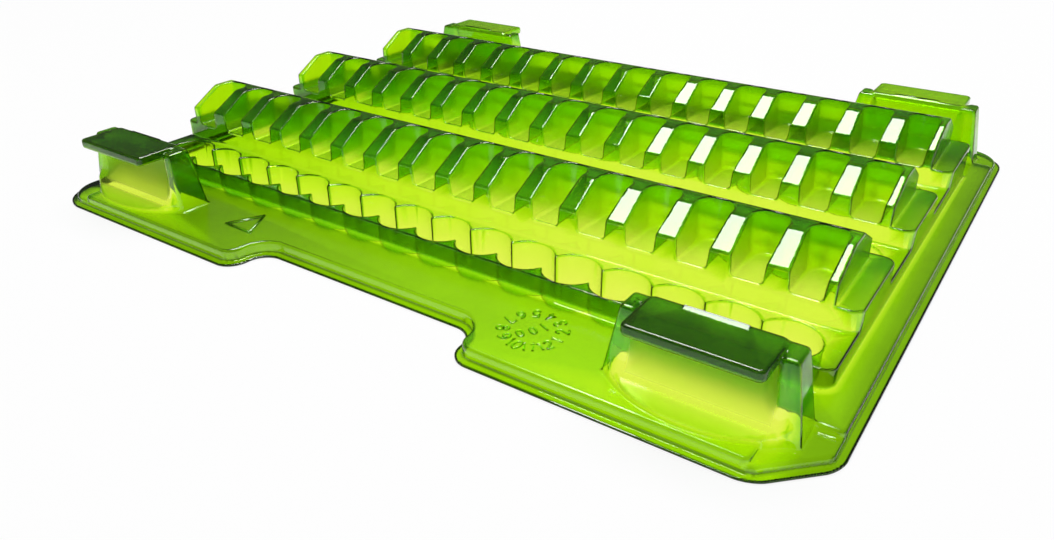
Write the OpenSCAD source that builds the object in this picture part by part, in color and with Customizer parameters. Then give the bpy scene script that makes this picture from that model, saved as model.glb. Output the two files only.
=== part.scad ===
// Thermoformed cradle tray: one clear sheet with a rim, a flat deck, stepped rows of wells
// and ribbed ridges, and four stacking towers. Millimetres, +Z up, front at -Y.
// Origin: middle of the tray, on the plane that it rests on.

/* [Sheet and rim] */
// Distance from the block of rows to each end of the cut outline
side_margin = 13.15; // [12:0.05:24]
// Distance from the block of rows to the front of the cut outline
front_margin = 47.6; // [46:0.2:58]
// Distance from the block of rows to the back of the cut outline
back_margin = 53.4; // [46:0.2:64]
// Thickness of the formed sheet
sheet = 1; // [0.8:0.1:1.2]
// Height of the deck's top above the rest plane
deck_h = 6.5; // [6:0.5:9]
// Width of the flange outside the rim wall
flange_w = 3; // [2:0.5:5]
// Radius of the three round corners
corner_r = 20; // [14:1:26]
// Length of the cut that marks the front right corner
corner_cut = 21; // [14:1:24]
// Length of the finger notch in the front and back edges
notch_l = 120; // [90:2:140]
// Depth of the finger notch
notch_d = 19; // [16:1:24]

/* [Rows] */
// Distance between neighbouring pockets
pitch = 22; // [20:0.5:22.5]
// Pockets in one row
pockets = 16; // [10:1:16]
// Distance between neighbouring rows
row_pitch = 75; // [73:0.5:78]
// Rise of each step: deck, bench, plinth, knee, crest
step_h = 8.8; // [7:0.2:10]
// Depth of the bench that holds the wells
bench_d = 26.4; // [25.6:0.2:27.4]
// Radius of a well
well_r = 12.5; // [11.8:0.1:12.6]
// Length of plinth past each end of a ridge
plinth_end = 9.7; // [8:0.1:11]
// Radius of the bench's front corners
bench_r = 5.5; // [3:0.5:8]
// Radius of the plinth's corners
plinth_r = 5; // [3:0.5:7]

/* [Ridges] */
// Width of a ridge across its foot
ridge_w = 43; // [41:0.5:45]
// Horizontal run of the ridge's slopes
slope_run = 15.8; // [13:0.2:16]
// Width of a pocket at its floor
pocket_w = 11.9; // [10:0.1:12.4]
// Width of a pocket at the crest
pocket_top_w = 14.8; // [14:0.1:15.2]
// Distance from the ridge's front to the centre of a pocket's round end
pocket_d = 19.6; // [18:0.2:19.8]
// Width of the rib at each end of a ridge, at its foot
end_rib = 4.2; // [3.6:0.1:5]

/* [Towers] */
// Length of a tower at its foot
tower_l = 70; // [64:1:74]
// Width of a tower at its foot
tower_w = 15.4; // [14:0.2:17]
// Height of a tower's roof above the deck
tower_h = 27.5; // [24:0.5:32]
// How far each end of a tower leans in
tower_end_lean = 4.8; // [3:0.2:6]
// How far each long side of a tower leans in
tower_side_lean = 2.2; // [1:0.1:2.6]
// Distance from the tray's end to the middle of a tower
tower_x_in = 47.7; // [46:0.5:52]
// Distance from the tray's edge to the tower's inner foot
tower_y_in = 32.8; // [32:0.2:36]
// Distance from the tray's edge to the toe of the scoop
toe_in = 5.5; // [4.5:0.5:7]
// Length of the scoop between the two end fins
scoop_l = 46; // [38:1:50]
// Radius of the scoop's hollow
scoop_r = 19; // [16:0.5:20]
// Length of straight foot at each end of the toe
toe_side = 3; // [2:0.5:5]
// Height of the scoop's edge at the toe
toe_h = 1.2; // [1.2:0.1:2]
// Length of a stacking plate
plate_l = 48; // [40:1:52]
// Reach of a stacking plate past its inner edge
plate_w = 22.4; // [20:0.2:24]
// Depth of the lip round the plate
lip_h = 3.5; // [2.5:0.5:5]
// Corner radius of a stacking plate
plate_r = 4; // [3:0.5:6]
// Length of the stop rib along the plate's inner edge
stop_l = 23; // [16:1:30]
// Width of the stop rib
stop_w = 2.4; // [1.6:0.2:4]
// Height of the stop rib
stop_h = 1; // [0.6:0.2:2]

/* [Corner ledges] */
// Drop of a corner ledge below the deck
ledge_drop = 2.5; // [1.5:0.25:3]
// Reach of a corner ledge along the tray's length
ledge_x = 23; // [20:0.5:26]
// Reach of a corner ledge along the tray's width
ledge_y = 31.4; // [28:0.2:31.4]

/* [Hidden] */
$fn = 64;

lime = [0.55, 0.80, 0.06, 0.75];
deep_lime = [0.30, 0.58, 0.03, 0.8];

// Overlap that lets a cut pass cleanly through a face
cut = 1;
// Front, back, left and right as signs
FRONT = -1;
BACK = 1;
LEFT = -1;
RIGHT = 1;

// Levels of the sheet's top face
bench_z = deck_h + step_h;
plinth_z = bench_z + step_h;
knee_z = plinth_z + step_h;
crest_z = knee_z + step_h;
ledge_z = deck_h - ledge_drop;
roof_z = deck_h + tower_h;

// Lengths along the rows
ridge_l = (pockets - 1) * pitch + pocket_w + 2 * end_rib;
block_l = ridge_l + 2 * plinth_end;
plinth_d = row_pitch - bench_d;
last_row = 2;
block_w = (last_row + 1) * row_pitch;
// Cut outline
tray_l = block_l + 2 * side_margin;
tray_w = front_margin + block_w + back_margin;
block_front = front_margin - tray_w / 2;
block_back = block_front + block_w;

// The rim wall stands inside the flange, and the deck lies on the wall
wall_in = flange_w + sheet;

// Slope of the ridge, and where its inner face turns
slope_angle = atan2(step_h, slope_run);
inner_knee_drop = sheet * (1 - sin(slope_angle)) / cos(slope_angle);
inner_crest_in = sheet * (1 - cos(slope_angle)) / sin(slope_angle);

// Front face of a row's riser
function row_y(row) = block_front + bench_d + row * row_pitch;
// Middle of a pocket and of the well before it
function pocket_x(i) = (i - (pockets - 1) / 2) * pitch;
// Width of a pocket at a height above its floor
function pocket_width(above) = pocket_w + (pocket_top_w - pocket_w) * above / (crest_z - plinth_z);

// Rectangle with round corners, one radius at the front and one at the back
module round_plate(x0, x1, y0, y1, front_r, back_r) {
    translate([x0, y0 + front_r]) square([x1 - x0, y1 - y0 - front_r - back_r]);
    translate([x0 + front_r, y0]) square([x1 - x0 - 2 * front_r, front_r + cut]);
    translate([x0 + back_r, y1 - back_r - cut]) square([x1 - x0 - 2 * back_r, back_r + cut]);
    for (x = [x0 + front_r, x1 - front_r]) translate([x, y0 + front_r]) circle(front_r);
    for (x = [x0 + back_r, x1 - back_r]) translate([x, y1 - back_r]) circle(back_r);
}

// Extrude a profile drawn in Y and Z along X, from x0 to x1
module along_x(x0, x1) {
    translate([x0, 0, 0]) rotate([90, 0, 90]) linear_extrude(x1 - x0) children();
}

// Extrude a profile drawn in X and Z along Y, from y0 to y1
module along_y(y0, y1) {
    translate([0, y1, 0]) rotate([90, 0, 0]) linear_extrude(y1 - y0) children();
}

// Extrude an outline from z0 to z1
module up(z0, z1) {
    translate([0, 0, z0]) linear_extrude(z1 - z0) children();
}

// Finger notch of the front edge, for an outline drawn in by some distance
module notch_void(inset) {
    bend = notch_d / 2;
    mouth = bend - inset;
    half = notch_l / 2 + inset;
    edge = inset - tray_w / 2;
    round_plate(-half, half, edge - notch_d, edge + notch_d, bend, bend + inset);
    for (side = [LEFT, RIGHT]) scale([side, 1]) difference() {
        translate([half - cut, edge - cut]) square([mouth + cut, mouth + cut]);
        translate([half + mouth, edge + mouth]) circle(mouth);
    }
}

// Outline of the sheet, drawn in by some distance
module outline(inset) {
    x = tray_l / 2 - inset;
    y = tray_w / 2 - inset;
    radius = corner_r - inset;
    edge = corner_cut - inset * (2 - sqrt(2));
    difference() {
        union() {
            round_plate(-x, x, -y, y, radius, radius);
            translate([x - radius, -y]) square(radius);
        }
        translate([x, -y]) polygon([[cut, -cut], [cut, edge + cut], [-edge - cut, -cut]]);
        notch_void(inset);
        mirror([0, 1, 0]) notch_void(inset);
    }
}

// Outline of the block of rows
module block_outline() {
    round_plate(-block_l / 2, block_l / 2, block_front, block_back, bench_r, plinth_r);
}

// Middle of a tower
tower_x = tray_l / 2 - tower_x_in;
// Inner and outer foot, and toe, of a front tower, as distances before the tray's middle
tower_inner = tray_w / 2 - tower_y_in;
tower_outer = tower_inner + tower_w;
tower_toe = tray_w / 2 - toe_in;
// The toe is an arc that meets the tower's outer foot a little inside its ends
toe_bulge = tower_toe - tower_outer;
toe_half = tower_l / 2 - toe_side;
toe_r = (pow(toe_half, 2) + pow(toe_bulge, 2)) / (2 * toe_bulge);
toe_centre = tower_toe - toe_r;
// Inner edge of a front stacking plate
plate_back = -tower_inner - tower_side_lean - sheet;

// Move a shape drawn for the front right corner to any corner
module at_corner(x_side, y_side) {
    scale([x_side, -y_side, 1]) children();
}

// Foot of a front right tower, drawn in by some distance
module tower_foot(inset) {
    translate([tower_x, 0]) {
        translate([inset - tower_l / 2, inset - tower_outer])
            square([tower_l - 2 * inset, tower_w - 2 * inset]);
        intersection() {
            translate([0, -toe_centre]) circle(toe_r - inset);
            translate([inset - toe_half, -tower_toe - cut])
                square([2 * toe_half - 2 * inset, toe_bulge + tower_w / 2 + cut]);
        }
    }
}

// Ledge area of a front right corner, with a border that reaches under its neighbours
module ledge_area(border) {
    x0 = tray_l / 2 - ledge_x - border;
    y1 = ledge_y + border - tray_w / 2;
    translate([x0, -tray_w / 2]) square([ledge_x + border, y1 + tray_w / 2]);
}

// Flat cut edge of the sheet
module rim_flange() {
    color(deep_lime) up(0, sheet) difference() {
        outline(0);
        outline(wall_in);
    }
}

// Wall between the flange and the deck, lower at the corner ledges
module rim_wall() {
    color(lime) {
        up(sheet, ledge_z - sheet) difference() {
            outline(flange_w);
            outline(wall_in);
        }
        up(ledge_z - sheet, deck_h - sheet) difference() {
            outline(flange_w);
            outline(wall_in);
            for (x_side = [LEFT, RIGHT], y_side = [FRONT, BACK])
                at_corner(x_side, y_side) ledge_area(0);
        }
    }
}

// Flat deck round the block of rows and the towers
module deck() {
    color(lime) up(deck_h - sheet, deck_h) difference() {
        outline(flange_w);
        block_outline();
        for (x_side = [LEFT, RIGHT], y_side = [FRONT, BACK]) at_corner(x_side, y_side) {
            ledge_area(0);
            tower_foot(0);
        }
    }
}

// Low ledge outside a tower, with the step up to the deck and to the tower's foot
module ledge(x_side, y_side) {
    color(lime) {
        up(ledge_z - sheet, ledge_z) difference() {
            intersection() {
                outline(flange_w);
                at_corner(x_side, y_side) ledge_area(0);
            }
            at_corner(x_side, y_side) tower_foot(0);
        }
        up(ledge_z - sheet, deck_h - sheet) difference() {
            intersection() {
                outline(flange_w);
                at_corner(x_side, y_side) ledge_area(sheet);
            }
            difference() {
                at_corner(x_side, y_side) ledge_area(0);
                at_corner(x_side, y_side) tower_foot(0);
            }
            at_corner(x_side, y_side) tower_foot(sheet);
        }
    }
}

// Plan of the wells of one row
module wells_plan(row, radius) {
    for (i = [0 : pockets - 1])
        translate([pocket_x(i), row_y(row) - bench_d / 2]) circle(radius);
}

// Plan of a bench, with its outer walls drawn in by some distance
module bench_plan(row, inset) {
    y0 = row_y(row) - bench_d;
    x = block_l / 2 - inset;
    if (row == 0) intersection() {
        round_plate(-x, x, y0 + inset, y0 + 2 * bench_d, bench_r - inset, bench_r);
        translate([-x, y0]) square([2 * x, bench_d]);
    }
    else translate([-x, y0]) square([2 * x, bench_d]);
}

// Bench with its wells: a flat sheet, the scalloped walls under it and the block's outer wall
module bench_form(row) {
    up(bench_z - sheet, bench_z) difference() {
        bench_plan(row, 0);
        wells_plan(row, well_r);
    }
    up(sheet, bench_z - sheet) difference() {
        intersection() {
            wells_plan(row, well_r + sheet);
            bench_plan(row, 0);
        }
        wells_plan(row, well_r);
    }
    up(deck_h - sheet, bench_z - sheet) difference() {
        bench_plan(row, 0);
        bench_plan(row, sheet);
        wells_plan(row, well_r);
    }
}

// Box over one bank of a bench, between the centres of its first and last wells
module bank_box(row, y_side) {
    reach = pocket_x(pockets - 1);
    depth = bench_d / 2;
    y0 = row_y(row) - depth + (y_side == FRONT ? -depth : 0);
    translate([-reach, y0, 0]) cube([2 * reach, depth, bench_z + cut]);
}

// Front or back bank of a bench: the strip beside the wells and its scalloped wall
module bench_bank(row, y_side) {
    color(lime) intersection() {
        bench_form(row);
        bank_box(row, y_side);
    }
}

// Two ends of a bench, each round half of the last well
module bench_ends(row) {
    color(lime) difference() {
        bench_form(row);
        bank_box(row, FRONT);
        bank_box(row, BACK);
    }
}

// Floor of a row of wells, one chain of discs on the rest plane
module well_floor(row) {
    color(deep_lime) up(0, sheet) intersection() {
        wells_plan(row, well_r + sheet);
        bench_plan(row, 0);
    }
}

// Plan of a pocket at its floor, drawn out by some distance
module pocket_plan(row, i, out) {
    width = pocket_w + 2 * out;
    translate([pocket_x(i), row_y(row)]) {
        translate([-width / 2, -cut]) square([width, pocket_d + cut]);
        translate([0, pocket_d]) circle(width / 2);
    }
}

// Space of a pocket above its floor, drawn out by some distance: straight sides and a round end
module pocket_void(row, i, out) {
    rise = crest_z - plinth_z + cut;
    low = pocket_width(0) / 2 + out;
    high = pocket_width(rise) / 2 + out;
    translate([pocket_x(i), row_y(row), plinth_z]) {
        along_y(-cut, pocket_d) polygon([[-low, 0], [low, 0], [high, rise], [-high, rise]]);
        translate([0, pocket_d, 0]) cylinder(h = rise, r1 = low, r2 = high);
    }
    up(plinth_z - sheet - cut, plinth_z) pocket_plan(row, i, out);
}

// Plinth under a ridge: riser, pocket floors, end steps and back wall
module plinth(row) {
    y0 = row_y(row);
    y1 = y0 + plinth_d;
    x = block_l / 2;
    color(lime) {
        up(plinth_z - sheet, plinth_z) difference() {
            round_plate(-x, x, y0, y1, plinth_r, plinth_r);
            difference() {
                translate([-ridge_l / 2, y0]) square([ridge_l, ridge_w]);
                for (i = [0 : pockets - 1]) pocket_plan(row, i, 0);
            }
        }
        up(bench_z - sheet, plinth_z - sheet) difference() {
            round_plate(-x, x, y0, y1, plinth_r, plinth_r);
            round_plate(sheet - x, x - sheet, y0 + sheet, y1 - sheet, plinth_r - sheet, plinth_r - sheet);
        }
        up(bench_z - sheet, bench_z) difference() {
            plinth_base(row, 0);
            round_plate(-x, x, y0, y1, plinth_r, plinth_r);
        }
        up(deck_h - sheet, bench_z - sheet) difference() {
            plinth_base(row, 0);
            plinth_base(row, sheet);
        }
    }
}

// Plan of a plinth's lower walls: straight ends, and a round back on the last row
module plinth_base(row, inset) {
    y0 = row_y(row);
    x = block_l / 2 - inset;
    if (row == last_row) intersection() {
        round_plate(-x, x, y0 - plinth_d, y0 + plinth_d - inset, plinth_r, plinth_r - inset);
        translate([-x, y0]) square([2 * x, plinth_d]);
    }
    else translate([-x, y0]) square([2 * x, plinth_d]);
}

// Section of a ridge, drawn in by the sheet or not
module ridge_section(row, inner) {
    y0 = row_y(row);
    skin = inner ? sheet : 0;
    foot = plinth_z - sheet - (inner ? cut : 0);
    knee = knee_z - (inner ? inner_knee_drop : 0);
    turn = slope_run + (inner ? inner_crest_in : 0);
    top = crest_z - skin;
    polygon([
        [y0 + skin, foot], [y0 + skin, knee], [y0 + turn, top],
        [y0 + ridge_w - turn, top], [y0 + ridge_w - skin, knee], [y0 + ridge_w - skin, foot]
    ]);
}

// Shell of a ridge with its pockets, between two planes across it and two planes along it
module ridge_shell(row, x0, x1, y0, y1, first, last) {
    shell_end = ridge_l / 2;
    difference() {
        intersection() {
            along_x(max(x0, -shell_end), min(x1, shell_end)) ridge_section(row, false);
            translate([x0, row_y(row) + y0, 0]) cube([x1 - x0, y1 - y0, crest_z + cut]);
        }
        for (i = [first : last]) pocket_void(row, i, 0);
        difference() {
            along_x(max(x0 - cut, sheet - shell_end), min(x1 + cut, shell_end - sheet))
                ridge_section(row, true);
            for (i = [first : last]) pocket_void(row, i, sheet);
        }
    }
}

// Hollow ribs between the pockets of one row, each its own shell up to the round ends
module rib_row(row) {
    color(lime) for (i = [0 : pockets]) {
        middle = pocket_x(i) - pitch / 2;
        ridge_shell(row, middle - pitch / 2, middle + pitch / 2, 0, pocket_d,
            max(i - 1, 0), min(i, pockets - 1));
    }
}

// Back of one ridge: round pocket ends, crest, back slope and back wall
module spine(row) {
    color(deep_lime)
        ridge_shell(row, -ridge_l / 2, ridge_l / 2, pocket_d, ridge_w, 0, pockets - 1);
}

// Tower seen from the front, drawn in by some distance
module tower_end_section(inset) {
    half = tower_l / 2 - inset;
    half_top = half - tower_end_lean;
    top = roof_z - inset;
    foot = deck_h - (inset > 0 ? sheet : 0);
    polygon([
        [tower_x - half, foot], [tower_x + half, foot],
        [tower_x + half_top, top], [tower_x - half_top, top]
    ]);
}

// Leaning block of a tower, drawn in by some distance
module tower_block(inset) {
    top = roof_z - inset;
    foot = deck_h - (inset > 0 ? sheet : 0);
    intersection() {
        along_y(-tray_w, 0) tower_end_section(inset);
        along_x(0, tray_l) polygon([
            [inset - tower_outer, foot], [-tower_inner - inset, foot],
            [-tower_inner - inset - tower_side_lean, top],
            [inset + tower_side_lean - tower_outer, top]
        ]);
    }
}

// Hollow of the scoop seen from the end: a quarter round from the toe, then straight up
module scoop_section(out) {
    reach = scoop_r + out;
    middle = deck_h + toe_h + scoop_r;
    translate([-tower_toe, middle]) circle(reach);
    translate([-tower_toe - scoop_r, middle]) square([scoop_r + reach, tower_h]);
    translate([-tower_toe - scoop_r, middle - reach]) square([scoop_r, reach + cut]);
}

// Bed of the scoop before its hollow is cut, bounded by the toe's arc
module scoop_bed(inset) {
    foot = deck_h - (inset > 0 ? sheet : 0);
    intersection() {
        translate([tower_x, -toe_centre, foot]) cylinder(h = scoop_r, r = toe_r - inset);
        translate([tower_x + inset - toe_half, -tower_toe - cut, foot])
            cube([2 * toe_half - 2 * inset, toe_bulge + tower_side_lean + inset + 2 * cut, scoop_r]);
    }
}

// Whole form of a tower, drawn in by some distance
module tower_form(inset) {
    half = scoop_l / 2 + inset;
    difference() {
        union() {
            tower_block(inset);
            scoop_bed(inset);
        }
        along_x(0, tray_l) scoop_section(inset);
    }
    difference() {
        tower_block(inset);
        translate([tower_x - half, -tray_w, 0]) cube([2 * half, tray_w, roof_z + cut]);
    }
}

// Hollow stacking tower with end fins and a scoop, on a foot that meets the deck
module tower(x_side, y_side) {
    color(lime) at_corner(x_side, y_side) difference() {
        union() {
            tower_form(0);
            up(deck_h - sheet, deck_h) tower_foot(0);
        }
        tower_form(sheet);
        up(deck_h - sheet - cut, deck_h) tower_foot(sheet);
    }
}

// Plan of a stacking plate, drawn in by some distance
module plate_plan(inset) {
    round_plate(tower_x - plate_l / 2 + inset, tower_x + plate_l / 2 - inset,
        plate_back - plate_w + inset, plate_back, plate_r - inset, plate_r - inset);
}

// Hollow stacking plate on a tower's roof: a flat top, a lip round its overhang and a stop rib
module stack_plate(x_side, y_side) {
    lip_z = roof_z - lip_h;
    color(deep_lime) at_corner(x_side, y_side) {
        difference() {
            up(lip_z, roof_z + sheet) plate_plan(0);
            up(lip_z + sheet, roof_z) plate_plan(sheet);
            tower_form(0);
        }
        translate([tower_x - stop_l / 2, plate_back - stop_w - sheet, roof_z + sheet])
            cube([stop_l, stop_w, stop_h]);
    }
}

rim_flange();
rim_wall();
deck();
ledge(LEFT, FRONT);  // ledge_front_left
ledge(RIGHT, FRONT);  // ledge_front_right
ledge(LEFT, BACK);  // ledge_back_left
ledge(RIGHT, BACK);  // ledge_back_right
bench_bank(0, FRONT);  // bench_front_1
bench_bank(1, FRONT);  // bench_front_2
bench_bank(2, FRONT);  // bench_front_3
bench_bank(0, BACK);  // bench_back_1
bench_bank(1, BACK);  // bench_back_2
bench_bank(2, BACK);  // bench_back_3
bench_ends(0);  // bench_ends_1
bench_ends(1);  // bench_ends_2
bench_ends(2);  // bench_ends_3
well_floor(0);  // well_floor_1
well_floor(1);  // well_floor_2
well_floor(2);  // well_floor_3
plinth(0);  // plinth_1
plinth(1);  // plinth_2
plinth(2);  // plinth_3
rib_row(0);  // rib_row_1
rib_row(1);  // rib_row_2
rib_row(2);  // rib_row_3
spine(0);  // spine_1
spine(1);  // spine_2
spine(2);  // spine_3
tower(LEFT, FRONT);  // tower_front_left
tower(RIGHT, FRONT);  // tower_front_right
tower(LEFT, BACK);  // tower_back_left
tower(RIGHT, BACK);  // tower_back_right
stack_plate(LEFT, FRONT);  // stack_plate_front_left
stack_plate(RIGHT, FRONT);  // stack_plate_front_right
stack_plate(LEFT, BACK);  // stack_plate_back_left
stack_plate(RIGHT, BACK);  // stack_plate_back_right
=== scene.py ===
import math

import bmesh
import bpy
import numpy as np
from mathutils import Matrix, Vector


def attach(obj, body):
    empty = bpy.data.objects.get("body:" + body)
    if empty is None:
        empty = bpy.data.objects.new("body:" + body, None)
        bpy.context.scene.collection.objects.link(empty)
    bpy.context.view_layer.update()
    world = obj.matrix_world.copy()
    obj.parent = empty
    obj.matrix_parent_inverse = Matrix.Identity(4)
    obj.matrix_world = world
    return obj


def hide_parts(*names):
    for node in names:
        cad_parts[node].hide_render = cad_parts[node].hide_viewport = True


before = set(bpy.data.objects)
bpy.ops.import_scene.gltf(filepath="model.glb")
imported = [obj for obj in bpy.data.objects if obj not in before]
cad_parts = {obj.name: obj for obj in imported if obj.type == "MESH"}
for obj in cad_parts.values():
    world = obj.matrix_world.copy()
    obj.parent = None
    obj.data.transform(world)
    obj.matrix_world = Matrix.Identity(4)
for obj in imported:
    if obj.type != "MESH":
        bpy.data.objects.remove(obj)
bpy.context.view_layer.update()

# Sizes are in millimetres, in the part's own frame. A few are closer to the photograph than in the solids.
MM = 0.001

# Sheet and rim
TRAY_L = 396.0
TRAY_W = 326.0
SHEET = 1.0
DECK_H = 6.5
FLANGE_W = 3.0
CORNER_CUT = 21.0
NOTCH_L = 120.0
NOTCH_D = 19.0

# Corner ledges
LEDGE_DROP = 2.5
LEDGE_X = 23.0
LEDGE_Y = 31.4

# Rows of wells and ridges
PITCH = 22.0
POCKETS = 16
ROW_PITCH = 75.0
ROWS = 3
STEP_H = 8.8
FRONT_MARGIN = 47.6
BENCH_D = 26.4
WELL_R = 11.8
WELL_SHIFT = -0.4
PLINTH_END = 9.3
RIDGE_W = 43.0
SLOPE_RUN = 15.8
POCKET_W = 11.9
POCKET_TOP_W = 14.6
POCKET_D = 19.6
END_RIB = 4.6

# Towers, each with a scoop between two end fins
TOWER_L = 70.0
TOWER_W = 15.4
TOWER_H = 27.5
TOWER_END_LEAN = 4.8
TOWER_SIDE_LEAN = 2.2
TOWER_X_IN = 47.7
TOWER_Y_IN = 32.8
TOE_IN = 5.5
TOE_SIDE = 2.6
TOE_H = 1.2
SCOOP_L = 46.0
SCOOP_R = 19.0
FLARE = 10.0
FLARE_H = 14.0
BED_INSET = 1.0

# Stacking plates, each with a lip and a sloped stop rib
PLATE_L = 48.0
PLATE_W = 22.4
PLATE_GAP = 0.5
LIP_H = 3.5
STOP_L = 23.0
STOP_W = 2.4
STOP_H = 1.0
STOP_IN = 1.6
STOP_TILT = math.radians(27)

# Corner radii in plan
CORNER_R = 20.0
CUT_R = 4.0
SHARP_R = 0.01
LEDGE_R = 3.0
BENCH_R = 5.5
PLINTH_R = 5.0
PLATE_R = 2.5
STOP_R = 0.8

# Forming radii over edges and at feet
EDGE_R = 0.9
FOOT_R = 1.4
RIM_R = 1.4
KNEE_R = 0.7
FLANGE_R = 0.2
FLANGE_FOOT_R = 1.0
BLOCK_FOOT_R = 2.0
WELL_CUSP_R = 0.8
WELL_FLOOR_R = 2.0
TOWER_SIDE_R = 1.5
TOWER_CORNER_R = 1.6
TOWER_FOOT_R = 1.2
ROOF_R = 1.3
SCOOP_EDGE_R = 1.0
FIN_LEAST_R = 0.6
FIN_R = 5.0
FIN_FOOT_R = 4.0
PLATE_EDGE_R = 1.2
PLATE_FOOT_R = 0.8
STOP_EDGE_R = 0.3
STOP_FOOT_R = 0.5

# Where a foot fillet starts to grow behind an outer edge, and how fast
FILLET_START = 1.0
FILLET_GROWTH = 0.5
RIDGE_FILLET_START = 1.5
RIDGE_FILLET_GROWTH = 0.6

# Where the fins' foot fillet fades: across the scoop's back, in from the ends and below the roof
FIN_BACK_BAND = (-1.0, 1.0)
FIN_END_BAND = (1.0, 4.0)
FIN_ROOF_BAND = (-6.0, -2.0)

# Levels and places that follow from them
BENCH_Z = DECK_H + STEP_H
PLINTH_Z = BENCH_Z + STEP_H
KNEE_Z = PLINTH_Z + STEP_H
CREST_Z = KNEE_Z + STEP_H
LEDGE_Z = DECK_H - LEDGE_DROP
ROOF_Z = DECK_H + TOWER_H
RIDGE_L = (POCKETS - 1) * PITCH + POCKET_W + 2 * END_RIB
BLOCK_L = RIDGE_L + 2 * PLINTH_END
PLINTH_D = ROW_PITCH - BENCH_D
BLOCK_FRONT = FRONT_MARGIN - TRAY_W / 2
FIRST_ROW = BLOCK_FRONT + BENCH_D
FIRST_WELLS = FIRST_ROW - BENCH_D / 2 + WELL_SHIFT
BLOCK_BACK = FIRST_ROW + (ROWS - 1) * ROW_PITCH + PLINTH_D
LAST_POCKET = (POCKETS - 1) * PITCH / 2
TOWER_X = TRAY_L / 2 - TOWER_X_IN
TOWER_INNER = TRAY_W / 2 - TOWER_Y_IN
TOWER_OUTER = TOWER_INNER + TOWER_W
ROOF_INNER = TOWER_INNER + TOWER_SIDE_LEAN
TOWER_TOE = TRAY_W / 2 - TOE_IN
TOE_BULGE = TOWER_TOE - TOWER_OUTER
TOE_HALF = TOWER_L / 2 - TOE_SIDE
TOE_R = (TOE_HALF**2 + TOE_BULGE**2) / (2 * TOE_BULGE)
LIP_Z = ROOF_Z - LIP_H

# Stand-ins for no neighbour and for no slope
FAR_AWAY = 1e3
TINY = 1e-9

# Wall left after forming, and the most of the room between two close walls that one wall may fill
THIN = 0.3
THICK = 0.9
SKIN_SHARE = 0.45
LEAST_WALL = 0.15

# Meshing: distance between grid points, grid rows below the rest plane, room round the tray,
# and the triangles that are kept in the top face, since flat areas need few
GRID = 0.7
GRID_BELOW = 3.0
GRID_PAD = 3.0
REST_SLACK = 0.25
TOP_FACES = 96000

# Moving mesh points onto the field: rounds, and the furthest that a round moves a point
PULL_ROUNDS = 2
PULL_MOST = 0.5

# Gaps over which the field's slope and bend are measured
SLOPE_GAP = 0.04
BEND_GAP = 0.4


def join(a, b, r):
    """Union of two distance fields with a fillet of radius r."""
    return np.maximum(r, np.minimum(a, b)) - np.hypot(np.maximum(r - a, 0), np.maximum(r - b, 0))


def meet(a, b, r):
    """Intersection of two distance fields with a rounded edge of radius r."""
    return np.minimum(-r, np.maximum(a, b)) + np.hypot(np.maximum(r + a, 0), np.maximum(r + b, 0))


def fade(value, low, high):
    """Smooth step from 0 at low to 1 at high."""
    part = np.clip((value - low) / (high - low), 0, 1)
    return part * part * (3 - 2 * part)


def towards(a, b, part):
    """Value between a, where part is 0, and b, where part is 1."""
    return a + (b - a) * part


def plate(x, y, half_x, half_y, r):
    """Distance to a rectangle with round corners, about the origin."""
    dx = np.abs(x) - half_x + r
    dy = np.abs(y) - half_y + r
    return np.hypot(np.maximum(dx, 0), np.maximum(dy, 0)) + np.minimum(np.maximum(dx, dy), 0) - r


def nearest(value, first, step, count):
    """Offset from the nearest of count places, step apart."""
    index = np.clip(np.round((value - first) / step), 0, count - 1)
    return value - first - step * index


def behind_front(y):
    """Distance behind the front of the nearest plinth."""
    return nearest(y, FIRST_ROW + PLINTH_D / 2, ROW_PITCH, ROWS) + PLINTH_D / 2


def foot_fillet(inside, start, growth):
    """Foot radius that grows from nothing at an outer edge, so that the edge stays straight."""
    return np.clip(growth * (inside - start), 0, FOOT_R)


def outline(x, y):
    """Distance to the sheet's cut edge: round corners, one cut corner and two finger notches."""
    round_all = plate(x, y, TRAY_L / 2, TRAY_W / 2, CORNER_R)
    sharp = plate(x, y, TRAY_L / 2, TRAY_W / 2, SHARP_R)
    cut = (x - y - (TRAY_L + TRAY_W) / 2 + CORNER_CUT) / math.sqrt(2)
    edge = np.where((x > 0) & (y < 0), meet(sharp, cut, CUT_R), round_all)
    turn = NOTCH_D / 2
    notch = meet(np.abs(x) - NOTCH_L / 2, TRAY_W / 2 - NOTCH_D - np.abs(y), turn)
    return meet(edge, -notch, turn)


def deck_field(x, y, z):
    """Flange, rim wall, deck and the four corner ledges."""
    edge = outline(x, y)
    flange = meet(edge, z - SHEET, FLANGE_R)
    inner = edge + FLANGE_W
    corner = np.maximum(TRAY_L / 2 - LEDGE_X - np.abs(x), TRAY_W / 2 - LEDGE_Y - np.abs(y))
    low = meet(inner, z - LEDGE_Z, RIM_R)
    high = meet(meet(inner, -corner, LEDGE_R), z - DECK_H, RIM_R)
    levels = join(low, high, foot_fillet(-inner, FILLET_START, FILLET_GROWTH))
    return join(flange, levels, FLANGE_FOOT_R)


def block_plan(x, y):
    """Distance to the outline of the block of benches and plinths."""
    middle = (BLOCK_FRONT + BLOCK_BACK) / 2
    return plate(x, y - middle, BLOCK_L / 2, (BLOCK_BACK - BLOCK_FRONT) / 2, BENCH_R)


def block_field(x, y, z):
    """Benches and plinths, one block of steps."""
    bench = meet(block_plan(x, y), z - BENCH_Z, EDGE_R)
    from_middle = behind_front(y) - PLINTH_D / 2
    plinth = meet(plate(x, from_middle, BLOCK_L / 2, PLINTH_D / 2, PLINTH_R), z - PLINTH_Z, EDGE_R)
    inside = np.minimum(BLOCK_L / 2 - np.abs(x), BLOCK_BACK - y)
    return join(bench, plinth, foot_fillet(inside, FILLET_START, FILLET_GROWTH))


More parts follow.
